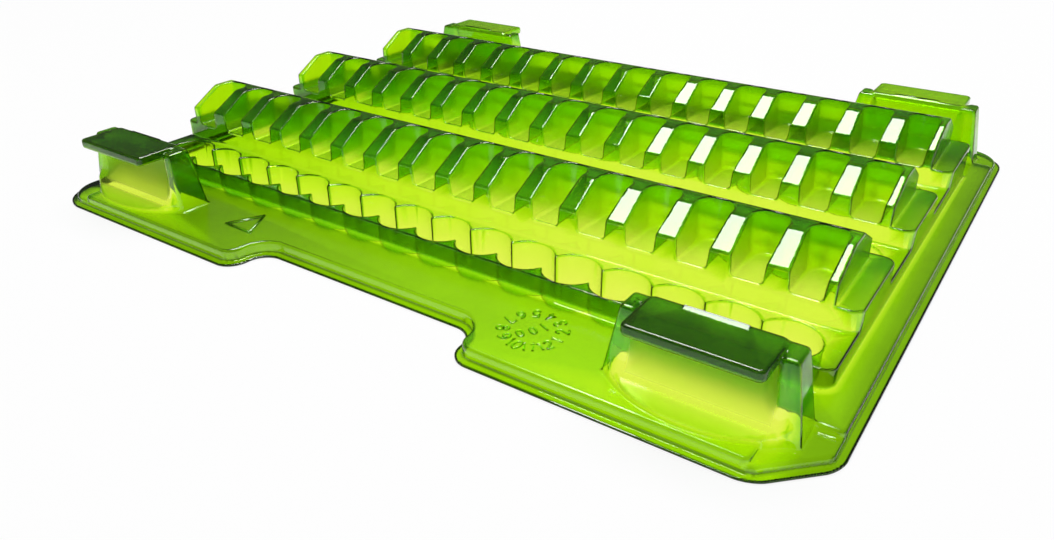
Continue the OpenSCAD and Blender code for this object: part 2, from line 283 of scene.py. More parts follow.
def ridge_field(x, row, z):
    """Ridges with a flat crest and two slopes, before the pockets are cut."""
    angle = math.atan2(STEP_H, SLOPE_RUN)
    front = (z - KNEE_Z) * math.cos(angle) - row * math.sin(angle)
    back = (z - KNEE_Z) * math.cos(angle) - (RIDGE_W - row) * math.sin(angle)
    top = meet(meet(z - CREST_Z, front, KNEE_R), back, KNEE_R)
    section = meet(meet(top, -row, KNEE_R), row - RIDGE_W, KNEE_R)
    return meet(section, np.abs(x) - RIDGE_L / 2, EDGE_R)


def pocket_field(x, row, z):
    """Pockets: straight sides, a round end, and sides that open upwards."""
    side = nearest(x, -LAST_POCKET, PITCH, POCKETS)
    rise = (z - PLINTH_Z) / (CREST_Z - PLINTH_Z)
    half = POCKET_W / 2 + (POCKET_TOP_W - POCKET_W) / 2 * rise
    around = np.hypot(side, np.maximum(row - POCKET_D, 0)) - half
    return meet(around, PLINTH_Z - z, FOOT_R)


def well_field(x, y, z):
    """Chains of round wells, open to each other where they meet."""
    row = nearest(y, FIRST_WELLS, ROW_PITCH, ROWS)
    side = np.abs(nearest(x, -LAST_POCKET, PITCH, POCKETS))
    other = np.where(np.abs(x) > LAST_POCKET, FAR_AWAY, PITCH - side)
    chain = join(np.hypot(side, row) - WELL_R, np.hypot(other, row) - WELL_R, WELL_CUSP_R)
    return meet(chain, SHEET - z, WELL_FLOOR_R)


def tower_body(along, out, z):
    """A tower's leaning block with a scoop hollowed out between two end fins."""
    rise = (z - DECK_H) / TOWER_H
    ends = along - TOWER_L / 2 + TOWER_END_LEAN * rise
    inner_side = TOWER_INNER + TOWER_SIDE_LEAN * rise - out
    outer_side = out - TOWER_OUTER + TOWER_SIDE_LEAN * rise
    sides = meet(inner_side, outer_side, TOWER_SIDE_R)
    block = meet(meet(ends, sides, TOWER_CORNER_R), z - ROOF_Z, ROOF_R)
    middle = DECK_H + TOE_H + SCOOP_R
    hollow = np.hypot(np.maximum(TOWER_TOE - out, 0), np.maximum(middle - z, 0)) - SCOOP_R
    mouth = SCOOP_L / 2 + FLARE * np.maximum(1 - (z - DECK_H) / FLARE_H, 0) ** 2
    half_fin = (TOWER_L / 2 - TOWER_END_LEAN * rise - mouth) / 2
    fin = meet(block, mouth - along, np.clip(half_fin, FIN_LEAST_R, FIN_R))
    toe = np.hypot(along, out - TOWER_TOE + TOE_R) - TOE_R
    bed_back = np.maximum(ROOF_INNER + BED_INSET - out, z - middle)
    bed = np.maximum(np.maximum(toe, ends + BED_INSET), bed_back)
    core = meet(np.minimum(block, bed), -hollow, SCOOP_EDGE_R)
    fillet = fade(out - TOWER_TOE + SCOOP_R, *FIN_BACK_BAND) * fade(-ends, *FIN_END_BAND)
    fillet = fillet * (1 - fade(z - ROOF_Z, *FIN_ROOF_BAND))
    return join(core, fin, FIN_FOOT_R * fillet)


def stack_plate_field(along, out, z):
    """A tower's stacking plate with its lip and stop rib."""
    slab = plate(along, out - ROOF_INNER - PLATE_GAP - PLATE_W / 2, PLATE_L / 2, PLATE_W / 2, PLATE_R)
    depth = LIP_H + SHEET
    cap = meet(slab, np.abs(z - ROOF_Z - SHEET + depth / 2) - depth / 2, PLATE_EDGE_R)
    from_stop = out - ROOF_INNER - STOP_IN - STOP_W / 2
    above = z - ROOF_Z - SHEET - STOP_H
    slope = above * math.cos(STOP_TILT) + (from_stop + STOP_W / 2) * math.sin(STOP_TILT)
    stop = meet(plate(along, from_stop, STOP_L / 2, STOP_W / 2, STOP_R), slope, STOP_EDGE_R)
    return join(cap, np.maximum(stop, ROOF_Z - z), STOP_FOOT_R)


def tower_field(x, y, z):
    """The four towers with their stacking plates."""
    along = np.abs(np.abs(x) - TOWER_X)
    out = np.abs(y)
    return join(tower_body(along, out, z), stack_plate_field(along, out, z), PLATE_FOOT_R)


def tray_field(x, y, z):
    """Distance to the tray's top face, below zero under it."""
    row = behind_front(y)
    field = join(deck_field(x, y, z), block_field(x, y, z), BLOCK_FOOT_R)
    ridge_foot = foot_fillet(row, RIDGE_FILLET_START, RIDGE_FILLET_GROWTH)
    field = join(field, ridge_field(x, row, z), ridge_foot)
    field = meet(field, -pocket_field(x, row, z), EDGE_R)
    field = meet(field, -well_field(x, y, z), EDGE_R)
    return join(field, tower_field(x, y, z), TOWER_FOOT_R)


def slope_of(points):
    """Unit normals of the tray's field at some points."""
    x, y, z = points.T
    out = np.stack([
        tray_field(x + SLOPE_GAP, y, z) - tray_field(x - SLOPE_GAP, y, z),
        tray_field(x, y + SLOPE_GAP, z) - tray_field(x, y - SLOPE_GAP, z),
        tray_field(x, y, z + SLOPE_GAP) - tray_field(x, y, z - SLOPE_GAP),
    ], 1)
    return out / np.maximum(np.linalg.norm(out, axis=1), TINY)[:, None]


def bend(points):
    """How sharply the sheet bends, per millimetre: above zero over an edge, below zero in a corner."""
    x, y, z = points.T
    steps = BEND_GAP * np.vstack([np.eye(3), -np.eye(3)])
    around = -len(steps) * tray_field(x, y, z)
    for dx, dy, dz in steps:
        around = around + tray_field(x + dx, y + dy, z + dz)
    return around / BEND_GAP**2


def crossings(field, cells, corners):
    """Mean place, in cell units, where the field crosses zero on the edges of some cells."""
    value = {corner: field[tuple((cells + corner).T)] for corner in corners}
    place = np.zeros((len(cells), 3))
    count = np.zeros(len(cells))
    for start in corners:
        for axis in range(3):
            if start[axis]:
                continue
            end = tuple(1 if n == axis else start[n] for n in range(3))
            first, second = value[start], value[end]
            crossed = (first < 0) != (second < 0)
            part = np.where(crossed, first / np.where(crossed, first - second, 1), 0)
            point = np.tile(np.array(start, float), (len(cells), 1))
            point[:, axis] = part
            place += point * crossed[:, None]
            count += crossed
    return place / count[:, None]


def surface(field, origin, step):
    """Quads on a field's zero level: one point per crossed cell, joined across crossed grid edges."""
    inside = field < 0
    sizes = [n - 1 for n in field.shape]
    corners = [(i, j, k) for i in (0, 1) for j in (0, 1) for k in (0, 1)]
    total = np.zeros(sizes, np.uint8)
    for i, j, k in corners:
        total += inside[i:i + sizes[0], j:j + sizes[1], k:k + sizes[2]]
    cells = np.argwhere((total > 0) & (total < len(corners)))
    index_of = np.full(sizes, -1, np.int64)
    index_of[tuple(cells.T)] = np.arange(len(cells))
    points = (cells + crossings(field, cells, corners)) * step + origin
    quads = []
    for axis in range(3):
        u, v = (axis + 1) % 3, (axis + 2) % 3
        low = [slice(None)] * 3
        high = [slice(None)] * 3
        low[axis], high[axis] = slice(None, -1), slice(1, None)
        first, second = inside[tuple(low)], inside[tuple(high)]
        edges = np.argwhere(first != second)
        edges = edges[(edges[:, u] > 0) & (edges[:, v] > 0)]
        edges = edges[(edges[:, u] < sizes[u]) & (edges[:, v] < sizes[v])]
        ring = []
        for du, dv in ((1, 1), (0, 1), (0, 0), (1, 0)):
            cell = edges.copy()
            cell[:, u] -= du
            cell[:, v] -= dv
            ring.append(index_of[tuple(cell.T)])
        ring = np.stack(ring, 1)
        flip = ~first[tuple(edges.T)]
        ring[flip] = ring[flip][:, ::-1]
        quads.append(ring)
    return points, np.concatenate(quads)


# How thick forming left the sheet, as a share of its thickest places; the share also sets the tint, and in
# the places noted below it paints shade.
# By height on the block of rows, in the pockets, on a tower's outer side and on its inner side
BLOCK_LEVELS = (SHEET, BENCH_Z, PLINTH_Z, PLINTH_Z + 2, KNEE_Z, CREST_Z)
# On the block and in the pockets the share grows with height: partly a thicker top, partly painted shade of
# the stacked walls
BLOCK_SHARES = (0.0, 0.11, 0.11, 0.46, 0.58, 0.8)
POCKET_LEVELS = (PLINTH_Z, KNEE_Z, CREST_Z)
POCKET_SHARES = (0.04, 0.13, 0.32)
# On a tower's outer side the share grows up under the plate's lip: painted shadow of the plate
OUTER_LEVELS = (ROOF_Z - 7, ROOF_Z - 4, ROOF_Z - 2, ROOF_Z - 1)
OUTER_SHARES = (0.0, 0.1, 0.4, 0.7)
INNER_LEVELS = (ROOF_Z - 2, ROOF_Z - 0.5)
INNER_SHARES = (0.04, 0.7)

# Shares of single places
DECK_SHARE = 0.52
# Painted shade on the deck towards the tray's right end
DECK_END_SHADE = 0.2
LEFT_END_WALL = 0.12
# Right end wall and right plinth end darker than the left ones: painted shade
RIGHT_END_WALL_SHADE = 0.4
LEFT_PLINTH_END = 0.1
RIGHT_PLINTH_END_SHADE = 0.54
BENCH_END_SHARE = 0.52
LAND_SHARE = 0.72
# Painted shade on the bench's front wall
BENCH_WALL_SHADE = 0.84
TOE_SHARE = 0.2
TOWER_FOOT_SHARE = 0.4
# Front plates painted darker and back plates lighter than the same sheet: painted shade and light
FRONT_PLATE_SHADE = 0.88
BACK_PLATE_SHARE = 0.22
# Painted dark lines along sharp edges, partly real thicker sheet over bends
EDGE_SHADE_SHARE = 0.4
# Painted shade at the rim wall's foot and along the cut edge
RIM_SHADE_SHARE = 0.9

# Painted shade: extra share that darkens the sheet's left side: how much, from where, how far and how it
# grows
LEFT_SHADE = 0.48
LEFT_SHADE_FROM = 90.0
LEFT_SHADE_RUN = 275.0
LEFT_SHADE_POWER = 1.6

# How far wells, ridges and the land before the wells are spared from that
WELL_SPARED = 0.6
RIDGE_SPARED = 0.7
LAND_SPARED = 0.8

# Where shares fade, in millimetres past a line or above a level that the code names
END_RIB_BAND = (-1.0, 0.0)
END_FACE_BAND = (0.4, 1.0)
END_FOOT_BAND = (0.5, 1.5)
PLINTH_END_BAND = (0.0, 2.0)
BENCH_END_BAND = (-1.0, 3.0)
TOP_BAND = (-3.0, -0.5)
LAND_BAND = (5.0, 8.0)
LAND_TOP_BAND = (-1.5, -0.5)
WELL_TOP_BAND = (-2.0, -0.5)
RIDGE_BAND = (0.0, 2.0)
BLOCK_BAND = (-5.0, 2.0)
BENCH_WALL_BAND = (-1.2, -0.6)
BENCH_FOOT_BAND = (0.5, 2.0)
DECK_END_BAND = (-40.0, -10.0)
TOWER_BAND = (-3.0, 8.0)
TOWER_FOOT_BAND = (0.0, 2.0)
TOE_BAND = (-2.0, TOE_BULGE)
RIM_OUT_BAND = (-1.2, -0.4)
RIM_IN_BAND = (0.2, 0.8)
RIM_TOP_BAND = (0.8, 1.6)
CUT_EDGE_BAND = (-0.8, -0.4)
NEAR_WALL_BAND = (-0.8, -0.2)
# Where an edge counts as sharp, per millimetre of bend
SHARP_BAND = (0.4, 1.1)
# Radius of the zone round a tower, slack round a zone, and how far down a hanging face has to look
TOWER_ZONE_R = 4.0
SLACK = 1.0
HANGING_SLOPE = -0.3
HANGING_H = 2.0
POCKET_MOUTH = 0.5


def in_pocket(x, row, z):
    """1 on the walls and floors of the pockets, 0 elsewhere."""
    near = fade(-np.abs(pocket_field(x, row, z)), *NEAR_WALL_BAND)
    return near * (z > PLINTH_Z - SLACK) * (row < RIDGE_W - SLACK) * (row > -POCKET_MOUTH)


def block_share(x, y, z):
    """Share on the block of rows, and how far each place is spared from the painted shade on the left side.
    """
    # Darker with height: partly a thicker top, partly painted shade
    share = np.interp(z, BLOCK_LEVELS, BLOCK_SHARES)
    drawn = np.interp(z, POCKET_LEVELS, POCKET_SHARES)
    share = towards(share, drawn, in_pocket(x, behind_front(y), z))
    past_ridge = np.abs(x) - RIDGE_L / 2
    end_wall = fade(past_ridge + END_RIB, *END_RIB_BAND) * (1 - fade(past_ridge, *END_FACE_BAND))
    end_wall = end_wall * fade(z - PLINTH_Z, *END_FOOT_BAND)
    # Right end walls darker than the left ones: painted shade
    share = towards(share, np.where(x < 0, LEFT_END_WALL, RIGHT_END_WALL_SHADE), end_wall)
    plinth_end = fade(past_ridge, *PLINTH_END_BAND) * fade(z - PLINTH_Z, *TOP_BAND)
    # Right plinth ends darker than the left ones: painted shade
    share = np.maximum(share, np.where(x < 0, LEFT_PLINTH_END, RIGHT_PLINTH_END_SHADE) * plinth_end)
    past_wells = np.abs(x) - LAST_POCKET - WELL_R
    bench_end = fade(past_wells, *BENCH_END_BAND) * fade(z - BENCH_Z, *TOP_BAND)
    share = np.maximum(share, BENCH_END_SHARE * bench_end * (z < BENCH_Z + SLACK))
    land = fade(FIRST_WELLS - y, *LAND_BAND) * fade(z - BENCH_Z, *LAND_TOP_BAND)
    share = np.maximum(share, LAND_SHARE * land)
    up = fade(z - PLINTH_Z, *RIDGE_BAND)
    down = 1 - fade(z - BENCH_Z, *WELL_TOP_BAND)
    kept = (WELL_SPARED * down, RIDGE_SPARED * up, LAND_SPARED * land, end_wall)
    return share, np.max(np.stack(kept), axis=0)


def tower_share(x, y, z):
    """Share on the towers and their plates, and how far each place belongs to a tower."""
    along = np.abs(np.abs(x) - TOWER_X)
    out = np.abs(y)
    to_edge = out - TRAY_W / 2 + TOWER_Y_IN / 2
    zone = plate(along, to_edge, TOWER_L / 2, TOWER_Y_IN / 2, TOWER_ZONE_R)
    # Darker up under the plate's lip: painted shadow
    outer = np.interp(z, OUTER_LEVELS, OUTER_SHARES)
    outer = np.maximum(outer, TOE_SHARE * fade(out - TOWER_OUTER, *TOE_BAND))
    outer = np.maximum(outer, TOWER_FOOT_SHARE * (1 - fade(z - DECK_H, *TOWER_FOOT_BAND)))
    inner = np.interp(z, INNER_LEVELS, INNER_SHARES)
    share = np.where(out < ROOF_INNER + PLATE_GAP, inner, outer)
    on_plate = (along < PLATE_L / 2 + SLACK) & (z > LIP_Z - SLACK) & (out > ROOF_INNER + SLACK)
    # Front plates darker than the back ones: painted shade
    share = np.where(on_plate, np.where(y < 0, FRONT_PLATE_SHADE, BACK_PLATE_SHARE), share)
    return share, fade(-zone, *TOWER_BAND)


def rim_share(x, y, z):
    """Painted shade at the rim wall's foot, and a dark line along the cut edge, partly its real end face
    and partly painted contact shadow.
    """
    edge = outline(x, y)
    foot = fade(edge + FLANGE_W, *RIM_OUT_BAND) - fade(edge + FLANGE_W, *RIM_IN_BAND)
    foot = foot * (1 - fade(z - SHEET, *RIM_TOP_BAND))
    return np.maximum(RIM_SHADE_SHARE * foot, fade(edge, *CUT_EDGE_BAND))


def thickness(points, normals):
    """Share left by forming with painted shade in it, and how much of the painted shade on the left side
    each place takes.
    """
    x, y, z = points.T
    base = block_plan(x, y)
    in_block = fade(-base, *BLOCK_BAND)
    block, spared = block_share(x, y, z)
    tower, in_tower = tower_share(x, y, z)
    on_tower = in_tower * (1 - in_block)
    # Deck darker towards the right end: painted shade
    deck = DECK_SHARE + DECK_END_SHADE * fade(x - TRAY_L / 2, *DECK_END_BAND)
    share = towards(towards(deck, block, in_block), tower, on_tower)
    hanging = (normals[:, 2] < HANGING_SLOPE) & (z > DECK_H + HANGING_H)
    share = np.where(hanging, 0.0, share)
    # Bench front wall darker: painted shade
    wall = fade(-np.abs(base), *BENCH_WALL_BAND) * fade(z - DECK_H, *BENCH_FOOT_BAND) * (z < BENCH_Z)
    share = np.maximum(share, BENCH_WALL_SHADE * wall)
    # Sharp edges darker: painted dark edge lines, partly real thicker sheet over bends
    share = towards(share, 1, EDGE_SHADE_SHARE * fade(bend(points), *SHARP_BAND))
    rim = rim_share(x, y, z)
    # Places that take the painted shade on the left side
    left_shading = (1 - spared * in_block) * (1 - on_tower) * (1 - wall) * (1 - rim) * ~hanging
    return np.maximum(share, rim), left_shading


# How hazy the tool's surface left the sheet, against the pockets
WELL_HAZE = 0.5
SCOOP_HAZE = 3.0
ROOF_HAZE = 0.7
WALL_HAZE = 0.4
DECK_HAZE = 0.8

# Where haze fades, as for the shares above
RIDGE_END_BAND = (-1.0, 1.0)
SCOOP_BAND = (0.0, 4.0)
SCOOP_FOOT_BAND = (0.3, 1.5)
SCOOP_DEPTH = 14.0
LIP_BAND = (-1.0, 0.0)
HAZY_WALL_BAND = (-1.0, -0.4)
LEVEL_BAND = (-0.5, -0.2)
OFF_BLOCK_BAND = (1.0, 3.0)
HAZE_REACH = 2.0


def haze(points):
    """Where the tool's surface left the sheet hazy, most of all in the scoops."""
    x, y, z = points.T
    along = np.abs(np.abs(x) - TOWER_X)
    out = np.abs(y)
    base = block_plan(x, y)
    pocket = in_pocket(x, behind_front(y), z)
    end = fade(x - RIDGE_L / 2, *RIDGE_END_BAND) * (z > PLINTH_Z - SLACK) * (x < BLOCK_L / 2 + HAZE_REACH)
    well = fade(-np.abs(well_field(x, y, z)), *NEAR_WALL_BAND)
    scoop = (out > TOWER_OUTER - SCOOP_DEPTH) * (out < TOWER_TOE + HAZE_REACH) * (z < LIP_Z - SLACK)
    scoop = scoop * (1 - fade(along - SCOOP_L / 2, *SCOOP_BAND)) * fade(z - DECK_H, *SCOOP_FOOT_BAND)
    roof = fade(z - LIP_Z, *LIP_BAND) * (out > TOWER_INNER) * (along < PLATE_L / 2 + SLACK)
    wall = fade(-np.abs(base), *HAZY_WALL_BAND) * (z < BENCH_Z - SLACK) * (z > DECK_H + SLACK)
    deck = fade(-np.abs(z - DECK_H), *LEVEL_BAND) * fade(base, *OFF_BLOCK_BAND)
    hazes = (WELL_HAZE * well, SCOOP_HAZE * scoop, ROOF_HAZE * roof, WALL_HAZE * wall, DECK_HAZE * deck)
    return np.max(np.stack((pocket, end, *hazes)), axis=0)


def new_object(name, data):
    """New object in the scene."""
    obj = bpy.data.objects.new(name, data)
    bpy.context.scene.collection.objects.link(obj)
    return obj


def final_mesh(obj):
    """Mesh of an object with its modifiers or bevel applied. The object itself is removed."""
    shown = obj.evaluated_get(bpy.context.evaluated_depsgraph_get())
    mesh = bpy.data.meshes.new_from_object(shown)
    bpy.data.objects.remove(obj)
    return mesh


def top_face():
    """Points and triangles of the tray's top face, open along the cut edge."""
    xs = np.arange(-TRAY_L / 2 - GRID_PAD, TRAY_L / 2 + GRID_PAD, GRID)
    ys = np.arange(-TRAY_W / 2 - GRID_PAD, TRAY_W / 2 + GRID_PAD, GRID)
    zs = np.arange(-GRID_BELOW * GRID, CREST_Z + GRID_PAD, GRID)
    grid = tray_field(*np.meshgrid(xs, ys, zs, indexing="ij", sparse=True))
    points, quads = surface(grid, np.array([xs[0], ys[0], zs[0]]), GRID)
    quads = quads[(points[quads][:, :, 2] > -REST_SLACK * GRID).all(1)]
    used, quads = np.unique(quads, return_inverse=True)
    quads = quads.reshape(-1, 4)
    mesh = bpy.data.meshes.new("top_face")
    mesh.from_pydata(points[used], [], quads)
    top = new_object("top_face", mesh)
    thin = top.modifiers.new("thin", "DECIMATE")
    thin.ratio = TOP_FACES / (2 * len(quads))
    ready = final_mesh(top)
    places = np.empty(len(ready.vertices) * 3)
    ready.vertices.foreach_get("co", places)
    ready.calc_loop_triangles()
    faces = np.empty(len(ready.loop_triangles) * 3, np.int32)
    ready.loop_triangles.foreach_get("vertices", faces)
    return places.reshape(-1, 3), faces.reshape(-1, 3)


def formed_sheet():
    """The whole tray as one formed sheet: its top face, and its underside one wall below."""
    points, faces = top_face()
    count = len(points)
    sides = np.concatenate([faces[:, [0, 1]], faces[:, [1, 2]], faces[:, [2, 0]]])
    _, first, times = np.unique(np.sort(sides, 1), axis=0, return_index=True, return_counts=True)
    open_edges = sides[first[times == 1]]
    rim = np.unique(open_edges)
    normals = slope_of(points)
    for _ in range(PULL_ROUNDS):
        off = np.clip(tray_field(*points.T), -PULL_MOST, PULL_MOST)
        points = points - off[:, None] * normals
        points[rim, 2] = 0
        normals = slope_of(points)
    share, left_shading = thickness(points, normals)
    # The painted shade on the left is added to the share, so the wall there is thicker as well as darker
    left = np.clip((LEFT_SHADE_FROM - points[:, 0]) / LEFT_SHADE_RUN, 0, 1)
    whole = share + LEFT_SHADE * left_shading * left**LEFT_SHADE_POWER
    room = SHEET - tray_field(*(points - SHEET * normals).T)
    wall = np.minimum(THIN + (THICK - THIN) * whole, np.maximum(SKIN_SHARE * room, LEAST_WALL))
    under = points - wall[:, None] * normals
    under[rim, 2] = 0
    start, end = open_edges.T
    closing = np.stack([end, start, start + count, end + count], 1)
    everything = faces.tolist() + (faces[:, ::-1] + count).tolist() + closing.tolist()
    mesh = bpy.data.meshes.new("tray_sheet")
    mesh.from_pydata(np.concatenate([points, under]) * MM, [], everything)
    mesh.shade_smooth()
    mesh.normals_split_custom_set_from_vertices(np.concatenate([normals, -normals]))
    for name, value in (("thickness", share), ("left_shading", left_shading), ("haze", haze(points))):
        layer = mesh.attributes.new(name, "FLOAT", "POINT")
        layer.data.foreach_set("value", np.tile(value, 2))
    return new_object("tray_sheet", mesh)


# Embossed marks on the front deck: a plain triangle and a date dial
TRIANGLE = ((-88.4, -141.1), (-80.2, -125.9), (-71.9, -141.3))
DIAL_PLACE = (81.6, -137.0)
DIAL_R = 11.2
DIAL_TURN = math.radians(56)
HOURS = 12
DIGIT_H = 4.8
DIGIT_GAP = 3.2
# Inside the dial: two zeros and a pointer
ZERO_PLACES = ((-2.6, -4.6), (0.4, -0.4))
ZERO_H = 4.08
POINTER = ((0.4, 4.8), (4.8, 2.9))
# Beads: radius of the triangle's and of a digit's, how deep the triangle's is sunk, and their smoothness
BEAD_R = 1.0
STROKE_R = 0.5
BEAD_SINK = 0.3
BEAD_ROUNDNESS = 3
BEAD_STEPS = 6
MARK_SHARE = 0.2

# Strokes of each digit, one unit high about the origin: whether it is smooth, whether it closes, its points
DIGITS = {
    "0": ((True, True, ((0, 0.5), (-0.28, 0), (0, -0.5), (0.28, 0))),),
    "1": ((False, False, ((-0.14, 0.32), (0.05, 0.5), (0.05, -0.5))),),
    "2": ((True, False, ((-0.26, 0.26), (0, 0.5), (0.25, 0.22), (0.02, -0.14), (-0.28, -0.5))),
          (False, False, ((-0.31, -0.5), (0.28, -0.5)))),
    "3": ((True, False, ((-0.26, 0.34), (0, 0.5), (0.22, 0.27), (-0.04, 0.05))),
          (True, False, ((-0.08, 0.03), (0.26, -0.22), (0, -0.5), (-0.28, -0.32)))),
    "4": ((False, False, ((0.12, -0.5), (0.12, 0.5), (-0.3, -0.2), (0.3, -0.2))),),
    "5": ((False, False, ((0.24, 0.5), (-0.2, 0.5), (-0.24, 0.06))),
          (True, False, ((-0.27, 0.03), (0.06, 0.14), (0.27, -0.18), (0, -0.5), (-0.27, -0.36)))),
    "6": ((True, False, ((0.2, 0.48), (-0.14, 0.26), (-0.27, -0.16), (0, -0.5),
                         (0.27, -0.2), (0, 0.08), (-0.25, -0.1))),),
    "7": ((False, False, ((-0.28, 0.5), (0.28, 0.5), (-0.08, -0.5))),),
    "8": ((True, True, ((0, 0.5), (-0.22, 0.27), (0, 0.04), (0.22, 0.27))),
          (True, True, ((0, 0.02), (-0.27, -0.23), (0, -0.5), (0.27, -0.23)))),
    "9": ((True, False, ((-0.2, -0.48), (0.14, -0.26), (0.27, 0.16), (0, 0.5),
                         (-0.27, 0.2), (0, -0.08), (0.25, 0.1))),),
}


def bead(points, radius, closed, smooth=False):
    """Mesh of a round bead along some points."""
    curve = bpy.data.curves.new("bead", "CURVE")
    curve.dimensions = "3D"
    curve.bevel_depth = radius * MM
    curve.bevel_resolution = BEAD_ROUNDNESS
    curve.resolution_u = BEAD_STEPS
    curve.use_fill_caps = True
    line = curve.splines.new("BEZIER")
    line.bezier_points.add(len(points) - 1)
    handle = "AUTO" if smooth else "VECTOR"
    for knot, (x, y) in zip(line.bezier_points, points):
        knot.co = (x * MM, y * MM, 0)
        knot.handle_left_type = handle
        knot.handle_right_type = handle
    line.use_cyclic_u = closed
    return final_mesh(new_object("bead", curve))


def moved(x, y, z=0):
    """Matrix of a move in millimetres."""
    return Matrix.Translation((x * MM, y * MM, z * MM))


def arrow_mark():
    """Plain triangle, its bead sunk in the deck."""
    mesh = bead(TRIANGLE, BEAD_R, True)
    mesh.transform(moved(0, 0, DECK_H - BEAD_SINK))
    return new_object("arrow_mark", mesh)


def strokes(text, height):
    """Meshes of the strokes of a number about the origin."""
    for index, digit in enumerate(text):
        shift = (index - (len(text) - 1) / 2) * DIGIT_GAP
        for smooth, closed, points in DIGITS[digit]:
            yield bead([(x * height + shift, y * height) for x, y in points], STROKE_R, closed, smooth)


def date_dial():
    """Twelve numbers, feet outwards, round two zeros and a pointer."""
    middle = moved(*DIAL_PLACE, DECK_H)
    pieces = []
    for hour in range(1, HOURS + 1):
        turn = Matrix.Rotation(hour * math.tau / HOURS + DIAL_TURN, 4, "Z")
        pieces += [(stroke, turn @ moved(0, -DIAL_R)) for stroke in strokes(str(hour), DIGIT_H)]
    for x, y in ZERO_PLACES:
        turn = Matrix.Rotation(DIAL_TURN, 4, "Z")
        pieces += [(stroke, moved(x, y) @ turn) for stroke in strokes("0", ZERO_H)]
    pieces.append((bead(POINTER, STROKE_R, False), Matrix.Identity(4)))
    marks = bmesh.new()
    for stroke, place in pieces:
        stroke.transform(middle @ place)
        marks.from_mesh(stroke)
    mesh = bpy.data.meshes.new("date_dial")
    marks.to_mesh(mesh)
    marks.free()
    return new_object("date_dial", mesh)


# Light that the sheet lets through, from where it is drawn thinnest to its thick edges and its darkest
# painted shade
TINTS = (
    (0.0, (0.88, 1.0, 0.12)),
    (0.2, (0.68, 0.98, 0.03)),
    (0.4, (0.49, 0.86, 0.005)),
    (0.5, (0.4, 0.79, 0.003)),
    (0.8, (0.22, 0.46, 0.001)),
    (1.0, (0.02, 0.06, 0.0)),
)
# Share of the light that one face of the sheet lets through on its way to the floor
FACE_PASS = 0.98
# Dye in the sheet, per metre
DYE = (0.7, 0.8, 0.1)
DYE_DENSITY = 1000.0
IOR = 1.5

# Surface: clouds in the tint, specks in the gloss, roughness of full haze
CLOUD_SCALE = 45
CLOUD_DETAIL = 3
CLOUD_DEPTH = 0.07
SPECK_SCALE = 900
SPECK_LEAST = 0.01
SPECK_MOST = 0.03
HAZE_ROUGHNESS = 0.2
FINE_DETAIL = 2
# Fine grain and slow ripples, in metres deep
GRAIN_SCALE = 1500
GRAIN_STRENGTH = 0.3
GRAIN_DEPTH = 0.00002
RIPPLE_SCALE = 140
RIPPLE_STRENGTH = 0.1
RIPPLE_DEPTH = 0.0004


def fill(tree, node, inputs):
    """Set a node's inputs: an output of another node is linked, any other value is a constant."""
    for name, value in inputs.items():
        if isinstance(value, bpy.types.NodeSocket):
            tree.links.new(value, node.inputs[name])
        else:
            node.inputs[name].default_value = value
    return node


def add_node(tree, kind, inputs):
    """New node with its inputs set."""
    return fill(tree, tree.nodes.new(kind), inputs)


def calculated(tree, operation, first, second):
    """Result of a sum, product or the like of two values."""
    node = add_node(tree, "ShaderNodeMath", {0: first, 1: second})
    node.operation = operation
    return node.outputs[0]


def spread(tree, value, low, high):
    """Map 0 to 1 onto low to high."""
    node = add_node(tree, "ShaderNodeMapRange", {"Value": value, "To Min": low, "To Max": high})
    return node.outputs["Result"]


def noise(tree, place, scale, detail):
    """Noise of 0 to 1 over the part."""
    node = add_node(tree, "ShaderNodeTexNoise", {"Vector": place, "Scale": scale, "Detail": detail})
    return node.outputs["Fac"]


def bumps(tree, height, strength, depth):
    """Bump node over a height of 0 to 1."""
    return add_node(tree, "ShaderNodeBump", {"Height": height, "Strength": strength, "Distance": depth})


def attribute(tree, name):
    """Value that the mesh holds at each point."""
    node = tree.nodes.new("ShaderNodeAttribute")
    node.attribute_name = name
    return node.outputs["Fac"]


def tint(tree, share, stops):
    """Colour by share."""
    node = add_node(tree, "ShaderNodeValToRGB", {0: share})
    band = node.color_ramp
    for at, _ in stops[1:-1]:
        band.elements.new(at)
    for element, (at, colour) in zip(band.elements, stops):
        element.position = at
        element.color = (*colour, 1)
    return node.outputs["Color"]


def mixed(tree, part, first, second):
    """Shader between first, where part is 0, and second, where part is 1."""
    return add_node(tree, "ShaderNodeMixShader", {0: part, 1: first, 2: second}).outputs[0]


def formed_share(tree, place):
    """Thickness share of the sheet, with the painted shade on the left side and slow clouds."""
    cloud = spread(tree, noise(tree, place, CLOUD_SCALE, CLOUD_DETAIL), -CLOUD_DEPTH, CLOUD_DEPTH)
    share = calculated(tree, "ADD", attribute(tree, "thickness"), cloud)
    # Painted shade: extra share towards the tray's left side
    apart = add_node(tree, "ShaderNodeSeparateXYZ", {0: place})
    left = add_node(tree, "ShaderNodeMapRange", {
        "Value": apart.outputs["X"],
        "From Min": LEFT_SHADE_FROM * MM,
        "From Max": (LEFT_SHADE_FROM - LEFT_SHADE_RUN) * MM,
    })
    extra = calculated(tree, "POWER", left.outputs["Result"], LEFT_SHADE_POWER)
    extra = calculated(tree, "MULTIPLY", extra, LEFT_SHADE)
    extra = calculated(tree, "MULTIPLY", extra, attribute(tree, "left_shading"))
    return calculated(tree, "ADD", share, extra)


